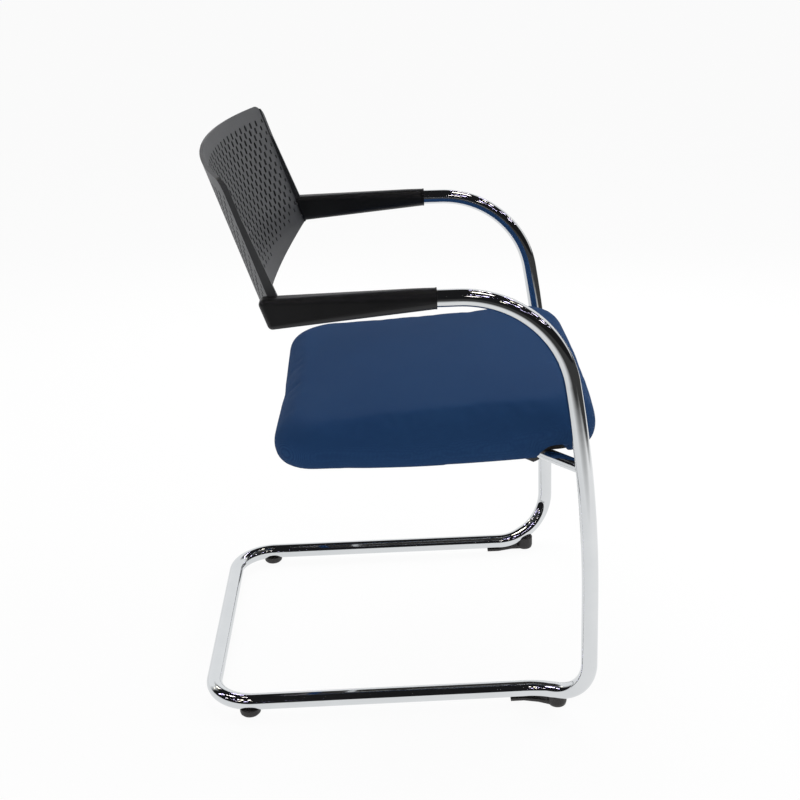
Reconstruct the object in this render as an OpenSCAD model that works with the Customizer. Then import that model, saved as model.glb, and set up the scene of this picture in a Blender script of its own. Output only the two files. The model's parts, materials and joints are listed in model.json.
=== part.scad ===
// Conference chair: cantilever tube frame, perforated curved back, upholstered seat.
// Millimetres. X is across, the sitter faces -Y, Z is up. The origin is on the floor,
// in the middle of the footprint.

/* [Overall] */
// Depth of the floor frame over its tubes
frame_depth = 560.5; // [520:1:620]
// Distance between the centre lines of the two arm tubes
arm_span = 536; // [500:1:600]
// Height of the arm tube's centre line above the floor
arm_height = 631; // [600:1:680]
// Height of the back's top edge above the floor
back_top = 790; // [760:1:840]

/* [Frame tube] */
// Outer diameter of the frame tube
tube_d = 23; // [20:0.5:26]
// Wall of the frame tube
tube_wall = 2; // [1.5:0.1:3]
// Radius of the arch between arm and leg, on the centre line
arch_r = 148; // [120:1:170]
// Radius of the leg's gentle bow
bow_r = 1930; // [1500:10:2200]
// Angle of the leg's gentle bow
bow_angle = 9.6; // [7:0.1:11]
// Radius of the two bends at each front foot
bend_r = 62; // [50:1:64]
// Turn of the upper foot bend, from the leg towards the floor
foot_turn = 78; // [72:0.5:82]
// Heading of the foot below the leg, inward from straight back
foot_heading = 35; // [30:0.5:38]
// How far each floor runner stands inside its leg
runner_inset = 47; // [42:0.5:60]
// Radius of the rear corners of the floor frame
corner_r = 62; // [45:1:80]

/* [Glides] */
// Height of the tube's underside above the floor
glide_h = 7; // [6:0.5:12]
// Diameter of a rear glide
rear_glide_d = 30; // [26:0.5:34]
// Distance of a rear glide's centre in front of the rear bar's centre line
rear_glide_back = 57; // [50:0.5:58]
// Diameter of a front glide's pad
front_glide_d = 27; // [24:0.5:30]
// Length of a front glide's strip under the runner
front_strip = 19; // [12:1:60]
// How far a front glide's pad stands outside the line of its runner
pad_out = 12; // [0:0.5:16]
// Width of a front glide's strip
front_strip_w = 14; // [10:0.5:18]
// Thickness of a front glide's strip under the tube
front_strip_t = 4; // [3:0.5:5]
// Length of the slope between a front glide's strip and its pad
front_slope = 12; // [6:0.5:16]
// Diameter of the stem that plugs a glide into the tube
stem_d = 6; // [5:0.5:8]

/* [Seat carrier] */
// Outer diameter of the carrier tube
rail_d = 18; // [16:0.5:20]
// Wall of the carrier tube
rail_wall = 1.5; // [1:0.1:2]
// Distance between the carrier's two rails
rail_span = 324; // [310:1:330]
// Angle between the carrier's front arms and the cross direction
carrier_angle = 39; // [36:0.5:44]
// Bend radius of the carrier tube
carrier_r = 36; // [30:1:50]
// Distance of the rear cross tube behind the seat's middle
carrier_rear = 150; // [130:1:170]

/* [Seat] */
// Width of the seat
seat_w = 476; // [440:1:490]
// Depth of the seat
seat_d = 445; // [430:1:475]
// Distance of the seat's middle in front of the frame's middle
seat_forward = 67.5; // [60:0.5:76]
// Height of the seat's lower edge at its middle
seat_height = 378.5; // [370:0.5:400]
// Slope of the seat, front edge up
seat_tilt = 1.7; // [0:0.1:4]
// Thickness of the cushion at its shoulder
cushion_t = 67; // [50:1:75]
// Extra height of the cushion's crown
crown = 6; // [3:0.5:12]
// How much thicker the cushion is at the front, as a rise per length
cushion_wedge = 0.037; // [0:0.001:0.05]
// Radius of the seat's corners in plan
seat_corner = 62; // [45:1:80]
// How far the sides draw in between the corners
side_draw = 2; // [0:0.5:5]
// How far the front edge bows forward
front_bow = 7; // [0:0.5:12]
// Roll of the cushion's upper edge at the sides
roll_side = 42; // [30:1:50]
// Roll of the cushion's upper edge at the front
roll_front = 44; // [40:1:75]
// Roll of the cushion's upper edge at the rear
roll_rear = 38; // [30:1:60]
// Roll of the cushion's lower edge
roll_low = 13; // [8:1:15]
// Height of the cushion's widest line above its lower edge
belly_h = 25; // [18:1:28]
// Thickness of the seat panel inside the cushion
panel_t = 10; // [8:0.5:14]
// How deep the seat panel's underside lies above the cushion's lower edge
panel_recess = 10; // [8:0.5:12]
// Width of the cushion's flat lip around the seat panel
lip_w = 3; // [2:0.5:8]
// Clear diameter of the notch where a carrier arm enters the seat
notch_d = 34; // [28:1:38]
// How far the notch's centre lies under the carrier arm's
notch_drop = 2; // [0:0.5:4]

/* [Saddles] */
// Length of a saddle along its rail
saddle_l = 26; // [22:1:28]
// Width of a saddle across its rail
saddle_w = 42; // [40:1:44]
// Wall of a saddle around its rail
saddle_wall = 3; // [2:0.5:4]
// Thickness of a saddle's ears
ear_t = 6; // [4:0.5:7]
// Thickness of the pad under a front saddle
saddle_pad = 8; // [4:0.5:12]
// Width of the pad under a front saddle
saddle_pad_w = 16; // [12:0.5:20]
// Distance between a front saddle and the bend of its carrier arm
saddle_gap = 2; // [1:1:6]
// Distance of the rear saddles behind the seat's middle
saddle_rear = 70; // [40:1:84]
// Diameter of a saddle screw
screw_d = 5; // [4:0.5:6]
// Diameter of a saddle screw's head
screw_head_d = 9; // [8:0.5:10]
// Height of a saddle screw's head
screw_head_h = 3; // [2.5:0.5:4]

/* [Back] */
// Width of the back shell
back_w = 526; // [490:1:590]
// Lean of the back from upright
back_lean = 18.2; // [14:0.2:22]
// Radius of the back's curve in plan
back_r = 733; // [600:1:900]
// Thickness of the back shell
back_t = 5; // [4:0.5:6]
// Depth of the rim along the back's upright edges
rim_t = 6.5; // [5:0.5:8]
// Width of the rim along the back's upright edges
rim_w = 5; // [4:0.5:8]
// How much deeper the rim grows towards the arm cover
rim_swell = 5; // [2:0.5:8]
// Length over which the rim grows
rim_grow = 110; // [60:5:120]
// Height of the back shell along its own slope, at the middle
back_l = 242; // [225:1:260]
// Distance of the back's top edge behind the frame's middle
back_y = 246; // [225:0.5:255]
// Radius of the curved lower edge
back_low_r = 1450; // [1200:10:2500]
// Radius of the two upper corners
back_corner = 22; // [8:1:30]

/* [Perforation] */
// Width of a slot
slot_w = 6; // [4:0.25:7]
// Height of a slot
slot_h = 10.5; // [8:0.25:12]
// Distance between the slots of a row
slot_pitch = 20.1; // [18:0.1:24]
// Distance between two rows, each half a pitch aside
row_pitch = 9.7; // [9:0.1:12]
// Plain border below the top edge
border_top = 24; // [20:1:40]
// Plain border above the lower edge
border_low = 27; // [22:1:45]
// Plain border at the upright edges
border_side = 9; // [9:1:30]
// Width of the zone in which the slots shrink towards the edge
fade = 26; // [10:1:40]

/* [Arms] */
// Distance of the arm cover's front end in front of the frame's middle
cover_front = 68.5; // [50:0.5:80]
// Diameter of the arm cover at its front end
cover_d = 27.5; // [27:0.5:32]
// How much wider the collar at that end is
collar_lip = 0.8; // [0.4:0.1:1.5]
// Height of the arm cover at the back
cover_h = 40.5; // [34:0.5:48]
// Width of the arm cover at the back
cover_w = 25; // [20:1:30]
// How far the arm cover's back end hangs below the arm tube's centre line
cover_drop = 32; // [26:0.5:36]
// Distance of the arm cover's lower rear edge behind the frame's middle
cover_rear = 146.5; // [140:0.5:160]
// How far the arm cover's upper rear edge reaches behind the lower one
cover_slope = 9; // [0:1:14]
// Edge radius of the arm cover's rear part
cover_edge = 7; // [4:0.5:9]
// Length of the tube inside the arm cover
tube_grip = 28; // [20:1:40]
// Diameter of the core that carries the arm cover behind the tube's end
core_d = 12; // [10:0.5:14]
// Reach of that core behind the tube's end
core_l = 50; // [30:1:60]
// Length of the plug inside the tube's end
plug_l = 30; // [20:1:50]
// Diameter of the pins that hold the back to the arm covers
pin_d = 3.5; // [3:0.5:4]
// Length of such a pin inside the arm cover
pin_l = 12; // [8:0.5:14]
// Length of such a pin inside the back shell's rim
pin_bite = 6; // [4:0.25:6.5]
// Distance between the two pins of a side
pin_gap = 20; // [14:1:22]

/* [Hidden] */
$fn = 96;

slack = 0.1;        // gap between a part and what it seats on or fits into
seat_gap = 0.3;     // gap between a curved piece and the slot that holds it
over = 1;           // how far a cutter reaches past what it cuts
wedge_bite = 4;     // how far the rim's wedge reaches into the arm cover
corner_lift = 0.05; // keeps a rounded corner from just grazing the top edge
collar = 2;         // depth of the round collar at the arm cover's front end
flange_t = 2;       // thickness of the flange that closes the arm tube's end
stem_reach = 4;     // how far a glide's stem reaches past the tube's wall
hull_fn = 32;
torus_fn = 360;

// Places are kept to a hundredth, so that runs of tube meet face to face
function snap(v) = round(v * 100) / 100;

// The origin lies half way between the foremost point, on the frame or on the seat's
// widest line, and the rear of the floor bar
seat_reach = seat_forward + (seat_d + front_bow) / 2 * cos(seat_tilt) - belly_h * sin(seat_tilt);
mid_y = snap(max(0, seat_reach - frame_depth / 2) / 2);

// The right-hand side, +X, is the one on the right as seen from in front of the chair
arm_x = arm_span / 2;
runner_x = arm_x - runner_inset;
leg_y = mid_y - (frame_depth - tube_d) / 2;
bar_y = mid_y + (frame_depth - tube_d) / 2;
runner_z = glide_h + tube_d / 2;

// Two foot bends, joined by a short straight link
foot_turn2 = acos(sin(foot_turn) * cos(foot_heading));
foot_heading2 = atan2(sin(foot_heading), cos(foot_turn) * cos(foot_heading));
tangent1 = bend_r * tan(foot_turn / 2);
tangent2 = bend_r * tan(foot_turn2 / 2);
foot_link = runner_inset / (sin(foot_turn) * sin(foot_heading)) - tangent1 - tangent2;
foot_run = tangent1 + foot_link + tangent2;
foot_z = snap(runner_z + tangent1 + foot_run * cos(foot_turn));
runner_y = snap(leg_y + foot_run * sin(foot_turn) * cos(foot_heading) + tangent2);

// Front glide: its pad lies under the end of the upper foot bend
pad_x = runner_x + pad_out;
pad_y = leg_y + tangent1 * sin(foot_turn) * cos(foot_heading);
pad_top = runner_z + (foot_run - tangent1) * cos(foot_turn) - tube_d / 4;
slope_angle = atan2(runner_y - pad_y, runner_x - pad_x);

// Leg and arch
bow_z = snap(arm_height - arch_r * (1 - sin(bow_angle)) - bow_r * sin(bow_angle));
arch_y = snap(leg_y + bow_r * (1 - cos(bow_angle)) + arch_r * cos(bow_angle));

// Seat frame of reference: lower edge of the cushion at the seat's middle
seat_y = mid_y - seat_forward;
rail_z = panel_recess - rail_d / 2;
rail_x = rail_span / 2;
carrier_y = (leg_y - seat_y) / cos(seat_tilt)
  + (bow_r - sqrt(bow_r * bow_r - (seat_height - bow_z) * (seat_height - bow_z)));
carrier_turn = 90 - carrier_angle;
carrier_tangent = carrier_r * tan(carrier_turn / 2);
carrier_arm = (arm_x - rail_x) / cos(carrier_angle);
rail_y = snap(carrier_y + carrier_arm * sin(carrier_angle) + carrier_tangent);
saddle_reach = carrier_arm - carrier_tangent - saddle_gap - saddle_l / 2;
panel_inset = roll_low + lip_w;

// Back shell frame of reference: lower edge at the middle of its rear face
back_half = back_w / 2;
back_foot_y = mid_y + back_y - back_l * sin(back_lean);
back_foot_z = back_top - back_l * cos(back_lean);
back_sag = back_r - sqrt(back_r * back_r - back_half * back_half);
top_drop = back_sag * tan(back_lean);
back_top_r = (back_half * back_half + top_drop * top_drop) / (2 * top_drop);

// Arm cover
collar_y = mid_y - cover_front;
grip_y = collar_y + tube_grip;
cover_end = mid_y + cover_rear;
cover_low = arm_height - cover_drop;
pin_z = cover_low + cover_h / 2;

function sag(x) = back_r - sqrt(back_r * back_r - x * x);
function edge_low(x) = back_low_r - sqrt(back_low_r * back_low_r - x * x);
function edge_top(x) = back_l - back_top_r + sqrt(back_top_r * back_top_r - x * x);
// Height along the slope at which a level line crosses the shell
function level(z, x) = (z - back_foot_z) / cos(back_lean) - sag(x) * tan(back_lean);

module side(s) {
  if (s > 0) children();
  else mirror([1, 0, 0]) children();
}

module ring(d, wall) {
  difference() {
    circle(d = d);
    if (wall > 0) circle(d = d - 2 * wall);
  }
}

// Straight tube from the origin along +Z; a wall of 0 makes it solid
module straight(len, d, wall) {
  linear_extrude(len) ring(d, wall);
}

// Bend that starts at the origin along +Z and turns towards +X
module bend(r, angle, d, wall) {
  translate([r, 0, 0]) rotate([90, 0, 180])
    rotate_extrude(angle = angle, $fn = torus_fn) translate([r, 0]) ring(d, wall);
}

module after_bend(r, angle) {
  translate([r * (1 - cos(angle)), 0, r * sin(angle)]) rotate([0, angle, 0]) children();
}

// Each run is placed at its own junction, so that its pieces meet on one exact plane
module arm_path(d, wall) {
  translate([arm_x, arch_y, arm_height]) rotate([90, 0, 0]) {
    mirror([0, 0, 1]) straight(grip_y - arch_y, d, wall);
    rotate([0, 0, -90]) bend(arch_r, 90 - bow_angle, d, wall);
  }
}

module leg_path(d, wall) {
  translate([arm_x, leg_y, bow_z]) {
    mirror([0, 0, 1]) straight(bow_z - foot_z, d, wall);
    rotate([0, 0, 90]) bend(bow_r, bow_angle, d, wall);
  }
}

// Placed at the end of the upper foot bend, where the straight link starts
module at_link() {
  translate([arm_x, leg_y, foot_z]) rotate([180, 0, 90]) rotate([0, 0, -foot_heading])
    after_bend(bend_r, foot_turn) children();
}

module foot_bend_path(d, wall) {
  at_link() {
    mirror([0, 0, 1]) bend(bend_r, foot_turn, d, wall);
    straight(foot_link, d, wall);
  }
}

module foot_turn_path(d, wall) {
  at_link() translate([0, 0, foot_link]) rotate([0, 0, foot_heading2])
    bend(bend_r, foot_turn2, d, wall);
}

module runner_path(d, wall) {
  translate([runner_x, runner_y, runner_z]) rotate([-90, 0, 0])
    straight(bar_y - corner_r - runner_y, d, wall);
}

module corner_path(d, wall) {
  translate([runner_x, bar_y - corner_r, runner_z]) rotate([90, 0, 180])
    bend(corner_r, 90, d, wall);
}

rear_glide_y = bar_y - rear_glide_back;

module stem_hole(y) {
  translate([runner_x, y, 0]) cylinder(d = stem_d + 2 * slack, h = runner_z);
}

module arm_tube(s) {
  color("gainsboro") side(s) arm_path(tube_d, tube_wall);
}

module leg_tube(s) {
  color("gainsboro") side(s) leg_path(tube_d, tube_wall);
}

module foot_bend(s) {
  color("gainsboro") side(s) foot_bend_path(tube_d, tube_wall);
}

module foot_turn_tube(s) {
  color("gainsboro") side(s) foot_turn_path(tube_d, tube_wall);
}

module runner(s) {
  color("gainsboro") side(s) difference() {
    runner_path(tube_d, tube_wall);
    stem_hole(runner_y + front_strip / 2);
  }
}

module rear_loop() {
  color("gainsboro") difference() {
    union() {
      side(1) corner_path(tube_d, tube_wall);
      side(-1) corner_path(tube_d, tube_wall);
      translate([corner_r - runner_x, bar_y, runner_z]) rotate([0, 90, 0])
        straight(2 * (runner_x - corner_r), tube_d, tube_wall);
    }
    side(1) stem_hole(rear_glide_y);
    side(-1) stem_hole(rear_glide_y);
  }
}

// Everything under here is placed on the sloping seat
module on_seat() {
  translate([0, seat_y, seat_height]) rotate([-seat_tilt, 0, 0]) children();
}

// Starts at the leg's centre line and runs inward and back
module carrier_arm_at(reach) {
  translate([arm_x - reach * cos(carrier_angle), carrier_y + reach * sin(carrier_angle), rail_z])
    rotate([0, 0, 90 - carrier_angle]) rotate([-90, 0, 0]) children();
}

// Arm of the carrier, coped to the leg, with the bend that leads into the rail
module carrier_arm(s) {
  color("gainsboro") side(s) difference() {
    on_seat() carrier_arm_at(carrier_arm - carrier_tangent) {
      mirror([0, 0, 1]) straight(carrier_arm - carrier_tangent, rail_d, rail_wall);
      bend(carrier_r, carrier_turn, rail_d, rail_wall);
    }
    leg_path(tube_d + 2 * slack, 0);
  }
}

module carrier_rail() {
  translate([rail_x, rail_y, rail_z]) rotate([-90, 0, 0])
    straight(carrier_rear - carrier_r - rail_y, rail_d, rail_wall);
  translate([rail_x, carrier_rear - carrier_r, rail_z]) rotate([90, 0, 180])
    bend(carrier_r, 90, rail_d, rail_wall);
}

module seat_carrier() {
  color("gainsboro") on_seat() {
    side(1) carrier_rail();
    side(-1) carrier_rail();
    translate([carrier_r - rail_x, carrier_rear, rail_z]) rotate([0, 90, 0])
      straight(2 * (rail_x - carrier_r), rail_d, rail_wall);
  }
}

// Saddle profile around a rail whose centre is the origin, with a pad of a given depth under it
module saddle_profile(pad) {
  pad_r = saddle_pad_w / 4;
  difference() {
    union() {
      translate([-saddle_w / 2, rail_d / 2 - ear_t]) square([saddle_w, ear_t]);
      intersection() {
        circle(d = rail_d + 2 * saddle_wall);
        translate([-rail_d, -2 * rail_d]) square([2 * rail_d, 2 * rail_d + rail_d / 2]);
      }
      if (pad > pad_r) {
        translate([-saddle_pad_w / 2, pad_r - pad - rail_d / 2])
          square([saddle_pad_w, pad + rail_d / 2 - pad_r]);
        translate([pad_r - saddle_pad_w / 2, -pad - rail_d / 2])
          square([saddle_pad_w - 2 * pad_r, pad_r]);
        for (x = [-1, 1])
          translate([x * (saddle_pad_w / 2 - pad_r), pad_r - pad - rail_d / 2]) circle(r = pad_r);
      }
    }
    circle(d = rail_d + 2 * slack);
  }
}

screw_x = (saddle_w + rail_d + 2 * saddle_wall) / 4;
screw_bite = panel_t - 2; // how far the screws reach into the seat panel

module saddle_body(pad) {
  difference() {
    rotate([90, 0, 0]) translate([0, 0, -saddle_l / 2]) linear_extrude(saddle_l)
      saddle_profile(pad);
    for (x = [-screw_x, screw_x])
      translate([x, 0, 0]) cylinder(d = screw_d + 2 * slack, h = rail_d);
  }
}

module saddle_pair_screws() {
  for (x = [-screw_x, screw_x]) translate([x, 0, rail_d / 2 - ear_t - screw_head_h]) {
    cylinder(d = screw_head_d, h = screw_head_h);
    translate([0, 0, screw_head_h]) cylinder(d = screw_d, h = ear_t + screw_bite);
  }
}

module at_front_saddle() {
  translate([arm_x - saddle_reach * cos(carrier_angle),
             carrier_y + saddle_reach * sin(carrier_angle), rail_z])
    rotate([0, 0, 90 - carrier_angle]) children();
}

module at_rear_saddle() {
  translate([rail_x, saddle_rear, rail_z]) children();
}

module saddle_front(s) {
  color("#161616") on_seat() side(s) at_front_saddle() saddle_body(saddle_pad);
}

module saddle_rear_block(s) {
  color("#161616") on_seat() side(s) at_rear_saddle() saddle_body(0);
}

module all_screws() {
  for (s = [-1, 1]) side(s) {
    at_front_saddle() saddle_pair_screws();
    at_rear_saddle() saddle_pair_screws();
  }
}

module saddle_screws() {
  color("silver") on_seat() all_screws();
}

// Rounded rectangle with exact corners
module rounded(w, d, r) {
  square([w - 2 * r, d], center = true);
  square([w, d - 2 * r], center = true);
  for (x = [-1, 1], y = [-1, 1])
    translate([x * (w / 2 - r), y * (d / 2 - r)]) circle(r = r);
}

module screw_bores() {
  for (s = [-1, 1]) side(s) {
    at_front_saddle() screw_bore_pair();
    at_rear_saddle() screw_bore_pair();
  }
}

module screw_bore_pair() {
  for (x = [-screw_x, screw_x]) translate([x, 0, 0])
    cylinder(d = screw_d + 2 * slack, h = rail_d / 2 + screw_bite + over);
}

module seat_panel() {
  color("#1d1d1d") on_seat() difference() {
    translate([0, 0, panel_recess]) linear_extrude(panel_t)
      rounded(seat_w - 2 * panel_inset - 2 * side_draw - panel_play,
              seat_d - 2 * panel_inset - panel_play, seat_corner - panel_inset);
    screw_bores();
  }
}

// Cushion: closed loops of points from the middle of the top, over the rolled edge,
// to the lip and into the pocket that takes the seat panel
corner_n = 9;
edge_n = 6;
loop_n = 4 * (corner_n + edge_n);
roll_n = 7;
low_n = 4;

function corner_at(q, a, b, r) = [(q == 0 || q == 3 ? 1 : -1) * (a - r), (q < 2 ? 1 : -1) * (b - r)];
function arc_at(q, a, b, r, t) = corner_at(q, a, b, r) + r * [cos(90 * (q + t)), sin(90 * (q + t))];
function outline(a, b, r) = [for (q = [0:3]) for (p = concat(
  [for (j = [0:corner_n]) arc_at(q, a, b, r, j / corner_n)],
  [for (j = [1:edge_n - 1]) let (t = j / edge_n)
    arc_at(q, a, b, r, 1) * (1 - t) + arc_at((q + 1) % 4, a, b, r, 0) * t])) p];

seat_a = seat_w / 2;
seat_b = seat_d / 2;
// Draws the sides in and bows the front out
function shaped(p) = [
  p.x * (1 - side_draw / seat_a * (1 - pow(p.y / seat_b, 2))),
  p.y - (p.y < 0 ? front_bow * (1 - pow(p.x / seat_a, 2)) * pow(p.y / seat_b, 2) : 0)];

// Loop at a share u of the upper roll's width, 0 at the widest line and 1 at the shoulder
function loop(in_side, in_front, in_rear, r, z, wedge) =
  let (a = seat_a - in_side, b = seat_b - (in_front + in_rear) / 2, m = (in_front - in_rear) / 2)
  [for (p = outline(a, b, r)) let (q = shaped([p.x, p.y + m]))
    [q.x, q.y + front_bow / 2, z - wedge * cushion_wedge * q.y]];

function crown_loop(k) = loop(
  seat_a - (seat_a - roll_side) * k, seat_b - (seat_b - roll_front) * k,
  seat_b - (seat_b - roll_rear) * k, seat_corner * k * 0.7, cushion_t + crown * (1 - k * k), 1);
function roll_loop(t) = loop(
  roll_side * (1 - cos(t)), roll_front * (1 - cos(t)), roll_rear * (1 - cos(t)),
  seat_corner * (0.7 + 0.3 * cos(t)), belly_h + (cushion_t - belly_h) * sin(t), sin(t));
function low_loop(t) = loop(
  roll_low * (1 - cos(t)), roll_low * (1 - cos(t)), roll_low * (1 - cos(t)),
  seat_corner - roll_low * (1 - cos(t)), belly_h * (1 - sin(t)), 0);
function flat_loop(inset, z) = loop(inset, inset, inset, seat_corner - inset, z, 0);

panel_play = 1;   // how much smaller the panel is than the pocket's narrow end
pocket_z = panel_recess + panel_t;
loops = concat(
  [for (k = [0.25, 0.5, 0.72, 0.88]) crown_loop(k)],
  [for (i = [roll_n:-1:0]) roll_loop(90 * i / roll_n)],
  [for (i = [1:low_n]) low_loop(90 * i / low_n)],
  [flat_loop(panel_inset - 1, 0), flat_loop(panel_inset - 0.5, pocket_z)]);
loop_count = len(loops);

module cushion_form() {
  points = concat([for (l = loops) each l],
    [[0, front_bow / 2, cushion_t + crown], [0, front_bow / 2, pocket_z]]);
  top = loop_n * loop_count;
  faces = concat(
    [for (j = [0:loop_n - 1]) [top, (j + 1) % loop_n, j]],
    [for (i = [0:loop_count - 2]) for (j = [0:loop_n - 1]) let (
      a = i * loop_n + j, b = i * loop_n + (j + 1) % loop_n)
      each [[a, b, b + loop_n], [a, b + loop_n, a + loop_n]]],
    [for (j = [0:loop_n - 1]) let (e = (loop_count - 1) * loop_n)
      [top + 1, e + j, e + (j + 1) % loop_n]]);
  polyhedron(points, faces);
}

module seat_cushion() {
  color("#24457a") on_seat() difference() {
    cushion_form();
    side(1) notch();
    side(-1) notch();
  }
}

// Clears the lip around a carrier arm
module notch() {
  translate([0, 0, -notch_drop]) carrier_arm_at(0)
    cylinder(d = notch_d, h = carrier_arm - carrier_tangent);
}

// Back shell, in its own frame: X across, Y back, Z up the slope
module on_back() {
  translate([0, back_foot_y, back_foot_z]) rotate([-back_lean, 0, 0]) children();
}

// The shell's plan is a curved wall with a deeper rim along each upright edge. It turns in
// small steps between the columns of slots, so no slot crosses a step.
function wall_y(x, depth) = sqrt(pow(back_r - depth, 2) - x * x) - back_r;

step_x = slot_pitch / 2;
rim_x = back_half - rim_w;
steps = floor(rim_x / step_x - 0.5);
turns = [for (k = [-steps:steps + 1]) (k - 0.5) * step_x];

module back_plan() {
  polygon(concat(
    [[-back_half, wall_y(back_half, 0)]],
    [for (x = turns) [x, wall_y(x, 0)]],
    [[back_half, wall_y(back_half, 0)], [back_half, wall_y(back_half, rim_t)],
     [rim_x, wall_y(rim_x, rim_t)], [rim_x, wall_y(rim_x, back_t)]],
    [for (x = turns) [-x, wall_y(x, back_t)]],
    [[-rim_x, wall_y(rim_x, back_t)], [-rim_x, wall_y(rim_x, rim_t)],
     [-back_half, wall_y(back_half, rim_t)]]));
}

// Wedge in front of the right-hand rim, which ends inside the arm cover
module rim_wedge(play = 0) {
  foot = level(cover_low + cover_h - wedge_bite, back_half) - play;
  face = wall_y(back_half, rim_t);
  translate([rim_x - play, 0, 0]) rotate([90, 0, 90]) linear_extrude(rim_w + 2 * play) polygon([
    [face + over, foot], [face + over, foot + rim_grow], [face, foot + rim_grow],
    [face - rim_swell - play, foot]]);
}

module corner_cut() {
  x = back_half - back_corner;
  translate([x, edge_top(x) - back_corner + corner_lift]) difference() {
    square(2 * back_corner);
    circle(r = back_corner);
  }
}

module back_outline() {
  difference() {
    intersection() {
      translate([-back_half, 0]) square([back_w, back_l]);
      translate([0, back_l - back_top_r]) circle(r = back_top_r, $fn = torus_fn);
      translate([0, back_low_r]) circle(r = back_low_r, $fn = torus_fn);
    }
    corner_cut();
    mirror([1, 0]) corner_cut();
  }
}

module slot(f) {
  w = slot_w * f;
  h = slot_h * f;
  square([w, h - w], center = true);
  for (y = [-1, 1]) translate([0, y * (h - w) / 2]) circle(d = w, $fn = 24);
}

rows = floor((back_top - border_top - back_foot_z) / row_pitch);
cols = ceil(back_half / slot_pitch);
slots = [for (i = [0:rows]) for (j = [-cols:cols]) let (
  x = slot_pitch * (j + (i % 2 == 0 ? 0.5 : 0)),
  l = abs(x) < back_half ? level(back_top - border_top - i * row_pitch, x) : -1,
  low = abs(x) < back_half ? l - edge_low(x) - border_low : -1,
  beside = back_half - border_side - abs(x),
  near = min(low, beside) / fade)
  if (low > 0 && beside > 0) [x, l, min(1, 0.55 + 0.45 * near)]];

module back_slots() {
  for (s = slots) translate([s.x, slot_w / 2 - sag(s.x), s.y]) rotate([90, 0, 0])
    linear_extrude(back_t + slot_w) slot(s.z);
}

module pins(s, d, play) {
  side(s) for (k = [-1, 1]) let (z = pin_z + k * pin_gap / 2) {
    y = back_foot_y + (z - back_foot_z) * tan(back_lean)
      - (back_sag + rim_t / 2) / cos(back_lean);
    translate([back_half - pin_bite - play, y, z]) rotate([0, 90, 0])
      cylinder(d = d, h = pin_bite + pin_l + 2 * play);
  }
}

module back_shell() {
  color("#3a3b3d") difference() {
    on_back() {
      difference() {
        intersection() {
          translate([0, 0, -back_l]) linear_extrude(3 * back_l) back_plan();
          rotate([90, 0, 0]) translate([0, 0, -back_t]) linear_extrude(back_sag + 3 * rim_t)
            back_outline();
        }
        back_slots();
      }
      side(1) rim_wedge();
      side(-1) rim_wedge();
    }
    pins(1, pin_d + 2 * slack, slack);
    pins(-1, pin_d + 2 * slack, slack);
  }
}

module cover_form() {
  hull() {
    translate([arm_x, grip_y, arm_height]) rotate([90, 0, 0])
      cylinder(d = cover_d, h = tube_grip, $fn = hull_fn);
    for (x = [-1, 1]) translate([arm_x + x * (cover_w / 2 - cover_edge), cover_end - cover_edge, 0]) {
      translate([0, 0, cover_low + cover_edge]) sphere(r = cover_edge, $fn = hull_fn);
      translate([0, cover_slope, cover_low + cover_h - cover_edge])
        sphere(r = cover_edge, $fn = hull_fn);
    }
  }
}

// Slot in the arm cover that takes the back shell's edge
module edge_slot() {
  inner = arm_x - cover_w / 2 - over;
  outer = back_half + slack;
  on_back() linear_extrude(back_l, center = true) polygon([
    [inner, wall_y(inner, 0) + seat_gap], [outer, wall_y(outer, 0) + seat_gap],
    [outer, wall_y(outer, rim_t) - seat_gap], [inner, wall_y(inner, rim_t) - seat_gap]]);
}

module arm_cover(s) {
  color("#121212") difference() {
    side(s) {
      cover_form();
      translate([arm_x, collar_y + collar, arm_height]) rotate([90, 0, 0])
        cylinder(d = cover_d + collar_lip, h = collar);
    }
    side(s) translate([arm_x, grip_y, arm_height]) rotate([90, 0, 0]) {
      translate([0, 0, -flange_t - slack])
        cylinder(d = tube_d + 2 * slack, h = tube_grip + flange_t + slack + over);
      mirror([0, 0, 1]) cylinder(d = core_d + 2 * slack, h = core_l + slack);
    }
    side(s) edge_slot();
    side(s) on_back() rim_wedge(seat_gap);
    pins(s, pin_d + 2 * slack, slack);
  }
}

// Plug in the arm tube's end, with the core that carries the arm cover behind it
module tube_plug(s) {
  color("#1a1a1a") side(s) translate([arm_x, grip_y, arm_height]) rotate([90, 0, 0]) {
    translate([0, 0, -flange_t]) cylinder(d = tube_d, h = flange_t);
    cylinder(d = tube_d - 2 * tube_wall - 2 * slack, h = plug_l);
    mirror([0, 0, 1]) cylinder(d = core_d, h = core_l);
  }
}

module back_pins(s) {
  color("silver") pins(s, pin_d, 0);
}

// Side profile of a round glide, up to a given height
module glide_profile(r, low_r, top) {
  polygon([[0, 0], [low_r, 0], [(low_r + 2 * r) / 3, glide_h * 0.1], [r * 0.96, glide_h * 0.4],
    [r, glide_h * 0.75], [r, top], [0, top]]);
}

module front_pad() {
  r = front_glide_d / 2;
  translate([pad_x, pad_y, 0]) {
    rotate_extrude() glide_profile(r, r * 0.72, pad_top);
    rotate([90, 0, slope_angle]) translate([0, 0, -front_strip_w / 2])
      linear_extrude(front_strip_w) polygon([[0, 0], [r * 0.3, 0],
        [r + front_slope, glide_h - front_strip_t], [r + front_slope, glide_h - slack],
        [0, glide_h - slack]]);
  }
  half = front_strip_w / 2;
  translate([0, 0, glide_h - front_strip_t]) linear_extrude(front_strip_t - slack) polygon([
    [runner_x - half, runner_y + front_strip], [runner_x - half, runner_y],
    [pad_x - half, pad_y], [pad_x + half, pad_y],
    [runner_x + half, runner_y], [runner_x + half, runner_y + front_strip]]);
}

module stem(y) {
  translate([runner_x, y, glide_h - slack]) cylinder(d = stem_d, h = tube_wall + stem_reach);
}

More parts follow.
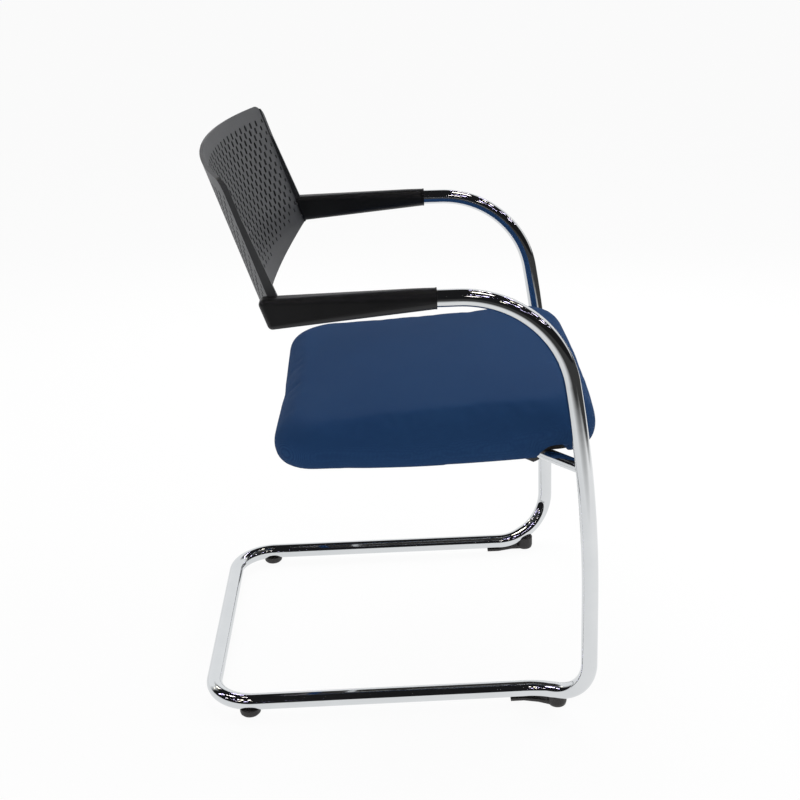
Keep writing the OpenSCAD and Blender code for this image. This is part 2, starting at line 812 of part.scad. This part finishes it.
module front_glide(s) {
  color("#1a1a1a") side(s) {
    difference() {
      front_pad();
      foot_bend_path(tube_d + 2 * slack, 0);
      foot_turn_path(tube_d + 2 * seat_gap, 0);
    }
    stem(runner_y + front_strip / 2);
  }
}

module rear_glide(s) {
  r = rear_glide_d / 2;
  color("#1a1a1a") side(s) {
    difference() {
      translate([runner_x, rear_glide_y, 0]) rotate_extrude()
        glide_profile(r, r * 0.5, glide_h + tube_d / 6);
      runner_path(tube_d + 2 * slack, 0);
      corner_path(tube_d + 2 * slack, 0);
    }
    stem(rear_glide_y);
  }
}

arm_tube(-1);  // arm_tube_left
arm_tube(1);  // arm_tube_right
leg_tube(-1);  // leg_tube_left
leg_tube(1);  // leg_tube_right
foot_bend(-1);  // foot_bend_left
foot_bend(1);  // foot_bend_right
foot_turn_tube(-1);  // foot_turn_left
foot_turn_tube(1);  // foot_turn_right
runner(-1);  // runner_left
runner(1);  // runner_right
rear_loop();
carrier_arm(-1);  // carrier_arm_left
carrier_arm(1);  // carrier_arm_right
seat_carrier();
saddle_front(-1);  // saddle_front_left
saddle_front(1);  // saddle_front_right
saddle_rear_block(-1);  // saddle_rear_left
saddle_rear_block(1);  // saddle_rear_right
saddle_screws();
seat_panel();
seat_cushion();
back_shell();
arm_cover(-1);  // arm_cover_left
arm_cover(1);  // arm_cover_right
tube_plug(-1);  // tube_plug_left
tube_plug(1);  // tube_plug_right
back_pins(-1);  // back_pins_left
back_pins(1);  // back_pins_right
front_glide(-1);  // front_glide_left
front_glide(1);  // front_glide_right
rear_glide(-1);  // rear_glide_left
rear_glide(1);  // rear_glide_right
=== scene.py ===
import bpy
import bmesh
import json
import math
from mathutils import Matrix, Vector


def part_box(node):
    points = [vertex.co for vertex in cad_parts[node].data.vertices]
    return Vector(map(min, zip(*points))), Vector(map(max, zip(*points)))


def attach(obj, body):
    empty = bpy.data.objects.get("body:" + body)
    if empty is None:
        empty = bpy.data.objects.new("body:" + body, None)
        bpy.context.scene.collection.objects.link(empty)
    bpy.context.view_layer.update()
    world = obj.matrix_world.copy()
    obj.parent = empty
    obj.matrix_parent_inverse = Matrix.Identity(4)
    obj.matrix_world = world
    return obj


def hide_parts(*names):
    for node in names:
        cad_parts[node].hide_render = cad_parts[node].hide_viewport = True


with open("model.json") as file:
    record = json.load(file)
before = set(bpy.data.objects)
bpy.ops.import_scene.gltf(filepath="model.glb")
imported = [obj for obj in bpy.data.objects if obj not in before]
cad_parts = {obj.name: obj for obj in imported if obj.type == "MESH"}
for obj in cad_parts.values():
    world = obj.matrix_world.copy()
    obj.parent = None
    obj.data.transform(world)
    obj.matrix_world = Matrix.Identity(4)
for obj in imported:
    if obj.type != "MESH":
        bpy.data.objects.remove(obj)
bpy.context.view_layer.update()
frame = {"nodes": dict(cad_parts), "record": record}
NODES = frame["nodes"]

# Lengths are in metres. Colours here are the light's own, where white is 1, and srgb() below makes
# one from a colour written as it looks, from 0 to 255.

# The back shell's lean, and how far inside its side and top the painted shade on its slot walls fades out
BACK_LEAN = math.radians(18.2)
SLOT_SHADE_TO_SIDE = 0.058
SLOT_SHADE_TO_TOP = 0.0366
SLOT_SHADE_FADE = 0.01
# How much of the shell's own colour its rim's walls keep under the painted shade
RIM_LESS_SHADE = 0.45

# The cushion's copy starts a little small, and the cloth's pressure fills it out again
CUSHION_START = (0.995, 0.995, 0.99)
CUSHION_VOXEL = 0.0042
CUSHION_SWELL = 0.006
CLOTH_STEPS = 20
CLOTH = {
    "quality": 4, "mass": 0.3, "use_pressure": True, "uniform_pressure_force": 4.0,
    "tension_stiffness": 20, "compression_stiffness": 20, "shear_stiffness": 10, "bending_stiffness": 2,
}

# The white sheet that the chair stands on fades to dark between these places, in x and in y.
# Only gloss sees its end.
SHEET_SIDE = (-1.5, -0.85)
SHEET_FRONT = (-1.65, -1.3)
SHEET_DARK = (0.05, 0.05, 0.05)
# It turns slightly grey from front to back between these places
SHEET_TINT = (-0.8, 0.8)
SHEET_WHITE = (1.0, 1.0, 1.0)
SHEET_GREY = (0.84, 0.85, 0.86)
FLOOR_RADIUS = 30
FLOOR_DROP = 0.0005
# The share of plain white in what the camera sees of the floor. The rest is lit, and shows the shadow.
FLOOR_GLOW = 0.93

# Strength of the soft light on the object, from low down and from high up
SOFT_LIGHT = (0.36, 0.46)

# Where the white wall that only gloss sees fades out, in z and in x of a direction of length 1
WALL_TOP = (0.58, 0.66)
WALL_SIDE = (0.25, 0.5)

# Rows of ceiling lamps that only gloss sees: the pitch of a row, and the share of it that is lit,
# both on a ceiling at a height of 1
ACROSS_ROW = (0.8, 0.17)
ALONG_ROW = (0.5, 0.62)
# They hang where a direction of length 1 has a z above LAMP_LOWEST, and leave a gap each side of y = 0.
# Noise above LAMP_NOISE picks those that are on.
LAMP_LOWEST = 0.4
LAMP_GAP = 0.2
LAMP_NOISE = 0.47
# Rows are counted from this far off, so that no count is negative, and heights from LEAST_HEIGHT up
ROW_START = 20
LEAST_HEIGHT = 0.05
LAMP_WARM = (8.0, 7.4, 6.0)
LAMP_COLD = (6.5, 5.8, 9.0)
ROOM_DARK = (0.013, 0.013, 0.014)
WALL_WHITE = (0.95, 0.96, 0.97)

# Name, place, target, size and power in watts of each lamp
LAMPS = (
    ("key", (1.3, -0.2, 1.35), (0, 0, 0.45), (2.0, 2.0), 17),
    ("front", (0.3, -2.1, 1.5), (0, 0.2, 0.65), (1.2, 1.0), 24),
    ("fill", (-2.2, 0.9, 1.3), (0, 0, 0.4), (1.4, 1.0), 17),
    ("rim", (1.6, 0.4, 2.4), (0, 0, 0.5), (1.0, 1.0), 12),
)

# The photograph's camera: pixels of an 800 pixel wide picture, and degrees
IMAGE_WIDTH = 800
FOCAL = 1352.0
IMAGE_CENTRE = (458.4, 297.7)
CAMERA_PLACE = (-1.8940, -0.0097, 1.1643)
CAMERA_YAW = -2.812
CAMERA_PITCH = 18.146
CAMERA_ROLL = 1.134


# Node helpers

def material(name):
    m = bpy.data.materials.new(name)
    m.use_nodes = True
    m.node_tree.nodes.clear()
    out = m.node_tree.nodes.new("ShaderNodeOutputMaterial")
    bsdf = m.node_tree.nodes.new("ShaderNodeBsdfPrincipled")
    m.node_tree.links.new(bsdf.outputs["BSDF"], out.inputs["Surface"])
    return m, bsdf


def add(m, kind, **values):
    """A node whose sockets or settings have these values."""
    n = m.node_tree.nodes.new(kind)
    for key, value in values.items():
        if key in n.inputs:
            n.inputs[key].default_value = value
        else:
            setattr(n, key, value)
    return n


def link(m, a, b):
    m.node_tree.links.new(a, b)


def coords(m):
    return add(m, "ShaderNodeTexCoord").outputs["Object"]


def scaled(m, vector, scale):
    n = add(m, "ShaderNodeMapping")
    n.inputs["Scale"].default_value = scale
    link(m, vector, n.inputs["Vector"])
    return n.outputs["Vector"]


def axes(m, vector):
    """The vector's x, y and z."""
    n = add(m, "ShaderNodeSeparateXYZ")
    link(m, vector, n.inputs[0])
    return n.outputs


def noise_at(m, vector, scale, detail=3.0, rough=0.5):
    n = add(m, "ShaderNodeTexNoise", Scale=scale, Detail=detail, Roughness=rough)
    link(m, vector, n.inputs["Vector"])
    return n.outputs["Fac"]


def remap(m, value, before, after=(0, 1)):
    """The value, moved from the range before to the range after, and kept inside it."""
    n = add(m, "ShaderNodeMapRange")
    n.inputs["From Min"].default_value, n.inputs["From Max"].default_value = before
    n.inputs["To Min"].default_value, n.inputs["To Max"].default_value = after
    link(m, value, n.inputs["Value"])
    return n.outputs["Result"]


def math_node(m, op, a, b=None):
    n = add(m, "ShaderNodeMath", operation=op)
    for i, v in enumerate((a, b)):
        if v is None:
            continue
        if hasattr(v, "links"):
            link(m, v, n.inputs[i])
        else:
            n.inputs[i].default_value = v
    return n.outputs[0]


def blend(m, a, b, share):
    """The sum of a and b, with share of b and the rest of a."""
    return math_node(m, "ADD", math_node(m, "MULTIPLY", a, 1 - share), math_node(m, "MULTIPLY", b, share))


def mix_colour(m, factor, a, b):
    n = add(m, "ShaderNodeMix", data_type="RGBA")
    link(m, factor, n.inputs[0])
    for socket, v in ((n.inputs[6], a), (n.inputs[7], b)):
        if hasattr(v, "links"):
            link(m, v, socket)
        else:
            socket.default_value = (*v, 1.0)
    return n.outputs[2]


def mix_shader(m, factor, a, b):
    n = add(m, "ShaderNodeMixShader")
    link(m, factor, n.inputs[0])
    link(m, a.outputs[0], n.inputs[1])
    link(m, b.outputs[0], n.inputs[2])
    return n


def bump(m, height, distance, strength, normal=None):
    n = add(m, "ShaderNodeBump", Strength=strength, Distance=distance)
    link(m, height, n.inputs["Height"])
    if normal is not None:
        link(m, normal, n.inputs["Normal"])
    return n.outputs["Normal"]


def srgb(r, g, b):
    """The shader's colour for one that looks like this."""
    def f(c):
        c /= 255
        return c / 12.92 if c <= 0.04045 else ((c + 0.055) / 1.055) ** 2.4
    return (f(r), f(g), f(b))


# Materials

def chrome():
    """Bright plate with faint smears, and waves that show only in what it mirrors."""
    m, b = material("chromed_tube")
    c = coords(m)
    smear = noise_at(m, c, 14, detail=4, rough=0.6)
    fine = noise_at(m, c, 190, detail=3, rough=0.6)
    wave = noise_at(m, c, 26, detail=2)
    b.inputs["Metallic"].default_value = 1.0
    link(m, mix_colour(m, smear, srgb(210, 212, 214), srgb(226, 228, 229)), b.inputs["Base Color"])
    link(m, remap(m, blend(m, smear, fine, 0.3), (0.3, 0.7), (0.03, 0.09)), b.inputs["Roughness"])
    link(m, bump(m, wave, 0.0006, 0.16), b.inputs["Normal"])
    return m


def moulded(name, dark, light, rough, specular=0.5, painted_shade=None):
    """Plastic with a fine grain. A painted shade may darken its colour where a surface turns."""
    m, b = material(name)
    c = coords(m)
    cloud = noise_at(m, c, 9, detail=4, rough=0.55)
    speck = noise_at(m, c, 420, detail=2)
    colour = mix_colour(m, remap(m, blend(m, cloud, speck, 0.25), (0.35, 0.65)), dark, light)
    # Painted shade on walls where a surface turns, if one is given
    if painted_shade is not None:
        colour = painted_shade(m, c, colour)
    grain = add(m, "ShaderNodeTexVoronoi", Scale=1500)
    link(m, c, grain.inputs["Vector"])
    b.inputs["Specular IOR Level"].default_value = specular
    link(m, colour, b.inputs["Base Color"])
    link(m, remap(m, cloud, (0.3, 0.7), (rough - 0.05, rough + 0.06)), b.inputs["Roughness"])
    link(m, bump(m, grain.outputs["Distance"], 0.00006, 0.6), b.inputs["Normal"])
    return m


def painted_slot_shade(m, c, colour):
    """The shell's colour with painted shade: nearly black on walls that stand across its face, as in the
    slots, less so on its rim.
    """
    shell_side, _, shell_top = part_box("back_shell")[1]
    side = shell_side - SLOT_SHADE_TO_SIDE
    top = shell_top - SLOT_SHADE_TO_TOP
    turn = add(m, "ShaderNodeVectorMath", operation="DOT_PRODUCT")
    link(m, add(m, "ShaderNodeNewGeometry").outputs["Normal"], turn.inputs[0])
    turn.inputs[1].default_value = (0, math.cos(BACK_LEAN), -math.sin(BACK_LEAN))
    face = remap(m, math_node(m, "ABSOLUTE", turn.outputs["Value"]), (0.55, 0.8))
    x, _, z = axes(m, c)
    rim = math_node(m, "MAXIMUM", remap(m, math_node(m, "ABSOLUTE", x), (side, side + SLOT_SHADE_FADE)),
                    remap(m, z, (top, top + SLOT_SHADE_FADE)))
    unshaded = math_node(m, "MAXIMUM", face, math_node(m, "MULTIPLY", rim, RIM_LESS_SHADE))
    # srgb(13, 13, 14) is the painted shade of the slot and rim walls
    return mix_colour(m, unshaded, srgb(13, 13, 14), colour)


def zinc():
    m, b = material("zinc_steel")
    cloud = noise_at(m, coords(m), 240, rough=0.6)
    b.inputs["Metallic"].default_value = 1.0
    link(m, mix_colour(m, cloud, srgb(150, 151, 150), srgb(196, 196, 192)), b.inputs["Base Color"])
    link(m, remap(m, cloud, (0.3, 0.7), (0.28, 0.45)), b.inputs["Roughness"])
    return m


def plywood():
    """Dark stained veneer, with its grain from front to back."""
    m, b = material("seat_panel")
    c = coords(m)
    grain = noise_at(m, scaled(m, c, (8, 1, 8)), 30, detail=6, rough=0.65)
    pores = noise_at(m, scaled(m, c, (60, 3, 60)), 40, detail=2, rough=0.6)
    tone = blend(m, grain, pores, 0.3)
    colour = mix_colour(m, remap(m, tone, (0.3, 0.7)), srgb(20, 18, 17), srgb(34, 30, 27))
    link(m, colour, b.inputs["Base Color"])
    link(m, remap(m, tone, (0.3, 0.7), (0.5, 0.68)), b.inputs["Roughness"])
    link(m, bump(m, tone, 0.0002, 0.4), b.inputs["Normal"])
    return m


def threads(m, c, turn):
    """Bands of thread across the seat, turned about the vertical."""
    t = add(m, "ShaderNodeMapping", Rotation=(0, 0, turn))
    link(m, c, t.inputs["Vector"])
    w = add(m, "ShaderNodeTexWave", wave_type="BANDS", bands_direction="X",
            Scale=260.0, Distortion=0.6, Detail=1.0)
    link(m, t.outputs["Vector"], w.inputs["Vector"])
    return w.outputs["Fac"]


def fabric():
    """Plain woven upholstery: two runs of thread that cross, slubs, fuzz and a slow change of tone."""
    m, b = material("seat_fabric")
    c = coords(m)
    slow = noise_at(m, c, 7, detail=4, rough=0.55)
    fuzz = noise_at(m, c, 900, detail=3, rough=0.6)
    slub = noise_at(m, scaled(m, c, (1, 0.12, 1)), 700, detail=2)
    weave = math_node(m, "MULTIPLY", threads(m, c, math.pi / 4), threads(m, c, -math.pi / 4))
    tone = math_node(m, "ADD", math_node(m, "MULTIPLY", slow, 0.45),
                     math_node(m, "ADD", math_node(m, "MULTIPLY", slub, 0.3),
                               math_node(m, "MULTIPLY", fuzz, 0.25)))
    thread = mix_colour(m, remap(m, tone, (0.36, 0.64)), srgb(30, 61, 101), srgb(37, 71, 111))
    colour = mix_colour(m, remap(m, weave, (0, 0.5)), srgb(26, 53, 91), thread)
    link(m, colour, b.inputs["Base Color"])
    link(m, remap(m, fuzz, (0.3, 0.7), (0.78, 0.92)), b.inputs["Roughness"])
    b.inputs["Specular IOR Level"].default_value = 0.12
    b.inputs["Sheen Weight"].default_value = 0.05
    b.inputs["Sheen Roughness"].default_value = 0.45
    b.inputs["Sheen Tint"].default_value = (*srgb(96, 128, 170), 1)
    link(m, bump(m, fuzz, 0.0002, 0.25, bump(m, weave, 0.00035, 0.5)), b.inputs["Normal"])
    return m


LOOKS = {
    "chromed_tube": chrome(),
    # The back shell's slot and rim walls get painted shade
    "back_plastic": moulded("back_plastic", srgb(66, 67, 69), srgb(74, 75, 77), 0.5, painted_shade=painted_slot_shade),
    "arm_plastic": moulded("arm_plastic", srgb(19, 19, 20), srgb(24, 24, 25), 0.4, specular=0.35),
    "glide_plastic": moulded("glide_plastic", srgb(34, 31, 31), srgb(42, 39, 38), 0.5),
    "saddle_plastic": moulded("saddle_plastic", srgb(26, 26, 27), srgb(34, 34, 35), 0.5),
    "seat_panel": plywood(),
    "seat_fabric": fabric(),
    "fasteners": zinc(),
}


def dress_nodes():
    """Each CAD node gets the look of its slot in the record."""
    slot_of = {s["node"]: s["material_slot"] for s in frame["record"]["subparts"]}
    for name, o in NODES.items():
        if not o.material_slots:
            o.data.materials.append(None)
        for slot in o.material_slots:
            slot.material = LOOKS[slot_of[name]]


dress_nodes()


# The upholstered cushion

def select_only(o):
    for other in bpy.context.selected_objects:
        other.select_set(False)
    bpy.context.view_layer.objects.active = o
    o.select_set(True)


def settle(o):
    """Fills the mesh out as cloth under pressure, by no more than CUSHION_SWELL at any point."""
    start = [v.co.copy() for v in o.data.vertices]
    cloth = o.modifiers.new("cloth", "CLOTH")
    for key, value in CLOTH.items():
        setattr(cloth.settings, key, value)
    cloth.settings.effector_weights.gravity = 0.0
    cloth.point_cache.frame_start = 1
    cloth.point_cache.frame_end = CLOTH_STEPS
    for step in range(1, CLOTH_STEPS + 1):
        bpy.context.scene.frame_set(step)
    settled = o.evaluated_get(bpy.context.evaluated_depsgraph_get())
    moved = [v.co.copy() for v in settled.data.vertices]
    o.modifiers.remove(cloth)
    bpy.context.scene.frame_set(1)
    for v, a, b in zip(o.data.vertices, start, moved):
        move = b - a
        if move.length > CUSHION_SWELL:
            move *= CUSHION_SWELL / move.length
        v.co = a + move


def cushion_cover():
    """The CAD cushion's form as fabric, in its place."""
    o = bpy.data.objects.new("cushion_cover", NODES["seat_cushion"].data.copy())
    bpy.context.scene.collection.objects.link(o)
    select_only(o)
    low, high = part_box("seat_cushion")
    middle = (Vector(low) + Vector(high)) / 2
    for v in o.data.vertices:
        v.co = middle + Vector(c * share for c, share in zip(v.co - middle, CUSHION_START))
    o.data.remesh_voxel_size = CUSHION_VOXEL
    bpy.ops.object.voxel_remesh()
    settle(o)
    o.data.materials.clear()
    o.data.materials.append(LOOKS["seat_fabric"])
    smooth = o.modifiers.new("smooth", "SMOOTH")
    smooth.factor = 0.5
    smooth.iterations = 4
    bpy.ops.object.modifier_apply(modifier="smooth")
    o.modifiers.new("finer", "SUBSURF").levels = 1
    bpy.ops.object.modifier_apply(modifier="finer")
    for p in o.data.polygons:
        p.use_smooth = True
    return o


cushion = cushion_cover()
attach(cushion, "root")
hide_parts("seat_cushion")


# Floor, light and camera

def seen_directly(m, path):
    """1 for rays straight from the camera or through glass, otherwise 0."""
    return math_node(m, "MAXIMUM", path.outputs["Is Camera Ray"], path.outputs["Is Transmission Ray"])


def white_floor():
    """White for the camera, with the object's shadow. Gloss sees the sheet and its dark end."""
    m = bpy.data.materials.new("floor")
    m.use_nodes = True
    m.node_tree.nodes.clear()
    path = add(m, "ShaderNodeLightPath")
    diffuse = add(m, "ShaderNodeBsdfDiffuse", Color=(0.9, 0.9, 0.9, 1))
    glow = add(m, "ShaderNodeEmission", Color=(1, 1, 1, 1))
    plain = mix_shader(m, math_node(m, "MULTIPLY", seen_directly(m, path), FLOOR_GLOW), diffuse, glow)
    x, y, _ = axes(m, coords(m))
    on_sheet = math_node(m, "MULTIPLY", remap(m, x, SHEET_SIDE), remap(m, y, SHEET_FRONT))
    white = mix_colour(m, remap(m, y, SHEET_TINT), SHEET_WHITE, SHEET_GREY)
    sheet = add(m, "ShaderNodeEmission")
    link(m, mix_colour(m, on_sheet, SHEET_DARK, white), sheet.inputs["Color"])
    out = add(m, "ShaderNodeOutputMaterial")
    link(m, mix_shader(m, path.outputs["Is Glossy Ray"], plain, sheet).outputs[0], out.inputs["Surface"])
    return m


def make_floor():
    mesh = bpy.data.meshes.new("floor")
    bm = bmesh.new()
    bmesh.ops.create_circle(bm, cap_ends=True, radius=FLOOR_RADIUS, segments=96)
    bm.to_mesh(mesh)
    bm.free()
    mesh.materials.append(white_floor())
    floor = bpy.data.objects.new("floor", mesh)
    floor.location = (0, 0, -FLOOR_DROP)
    bpy.context.scene.collection.objects.link(floor)


def ceiling_lamps(w, way, x, y, z):
    """1 where the way points at a lamp that is on, of the rows on the ceiling, and otherwise 0."""
    up = math_node(w, "MAXIMUM", z, LEAST_HEIGHT)
    across = math_node(w, "DIVIDE", x, up)
    along = math_node(w, "DIVIDE", y, up)
    lit = math_node(w, "MULTIPLY", math_node(w, "GREATER_THAN", z, LAMP_LOWEST),
                    math_node(w, "GREATER_THAN", math_node(w, "ABSOLUTE", along), LAMP_GAP))
    on = math_node(w, "GREATER_THAN", noise_at(w, way, 12, detail=0), LAMP_NOISE)
    lit = math_node(w, "MULTIPLY", lit, on)
    for value, (pitch, share) in ((across, ACROSS_ROW), (along, ALONG_ROW)):
        counted = math_node(w, "DIVIDE", math_node(w, "ADD", value, ROW_START), pitch)
        cell = math_node(w, "FRACT", counted)
        lit = math_node(w, "MULTIPLY", lit, math_node(w, "LESS_THAN", cell, share))
    return lit


def studio():
    """White all round for the camera. Gloss sees a white wall behind the object, and elsewhere a dark
    room with small lamps."""
    w = bpy.data.worlds.new("studio")
    bpy.context.scene.world = w
    w.use_nodes = True
    w.node_tree.nodes.clear()
    way = add(w, "ShaderNodeTexCoord").outputs["Generated"]
    x, y, z = axes(w, way)
    path = add(w, "ShaderNodeLightPath")
    white = add(w, "ShaderNodeBackground", Color=(1, 1, 1, 1), Strength=1.0)
    soft = add(w, "ShaderNodeBackground", Color=(1, 1, 1, 1))
    link(w, remap(w, z, (0, 0.9), SOFT_LIGHT), soft.inputs["Strength"])
    lamp_colour = mix_colour(w, remap(w, noise_at(w, way, 3, detail=0), (0.4, 0.6)), LAMP_WARM, LAMP_COLD)
    room = mix_colour(w, ceiling_lamps(w, way, x, y, z), ROOM_DARK, lamp_colour)
    wall = math_node(w, "MULTIPLY", remap(w, z, WALL_TOP, (1, 0)), remap(w, x, WALL_SIDE))
    mirrored = add(w, "ShaderNodeBackground")
    link(w, mix_colour(w, wall, room, WALL_WHITE), mirrored.inputs["Color"])
    unseen = mix_shader(w, path.outputs["Is Glossy Ray"], soft, mirrored)
    out = add(w, "ShaderNodeOutputWorld")
    link(w, mix_shader(w, seen_directly(w, path), unseen, white).outputs[0], out.inputs["Surface"])


def lamp(name, place, target, size, power):
    """A rectangular lamp that lights surfaces but isn't mirrored in them."""
    d = bpy.data.lights.new(name, "AREA")
    d.shape = "RECTANGLE"
    d.size, d.size_y = size
    d.energy = power
    o = bpy.data.objects.new(name, d)
    o.location = place
    o.rotation_euler = (Vector(target) - Vector(place)).to_track_quat("-Z", "Y").to_euler()
    o.visible_glossy = False
    bpy.context.scene.collection.objects.link(o)


def photo_camera():
    """The camera at the photograph's viewing angle. Roll turns the picture about its centre."""
    yaw, pitch, roll = (math.radians(a) for a in (CAMERA_YAW, CAMERA_PITCH, CAMERA_ROLL))
    level = math.cos(pitch)
    forward = Vector((level * math.cos(yaw), level * math.sin(yaw), -math.sin(pitch)))
    right = forward.cross(Vector((0, 0, 1))).normalized()
    down = forward.cross(right)
    turned_right = math.cos(roll) * right + math.sin(roll) * down
    turned_down = -math.sin(roll) * right + math.cos(roll) * down
    d = bpy.data.cameras.new("camera")
    d.sensor_fit = "HORIZONTAL"
    d.sensor_width = 36
    d.lens = d.sensor_width * FOCAL / IMAGE_WIDTH
    d.shift_x = 0.5 - IMAGE_CENTRE[0] / IMAGE_WIDTH
    d.shift_y = IMAGE_CENTRE[1] / IMAGE_WIDTH - 0.5
    d.clip_end = 100
    o = bpy.data.objects.new("camera", d)
    pose = Matrix((turned_right, -turned_down, -forward)).transposed().to_4x4()
    pose.translation = CAMERA_PLACE
    o.matrix_world = pose
    bpy.context.scene.collection.objects.link(o)
    bpy.context.scene.camera = o


make_floor()
studio()
for each in LAMPS:
    lamp(*each)
photo_camera()
bpy.context.scene.view_settings.view_transform = "Standard"
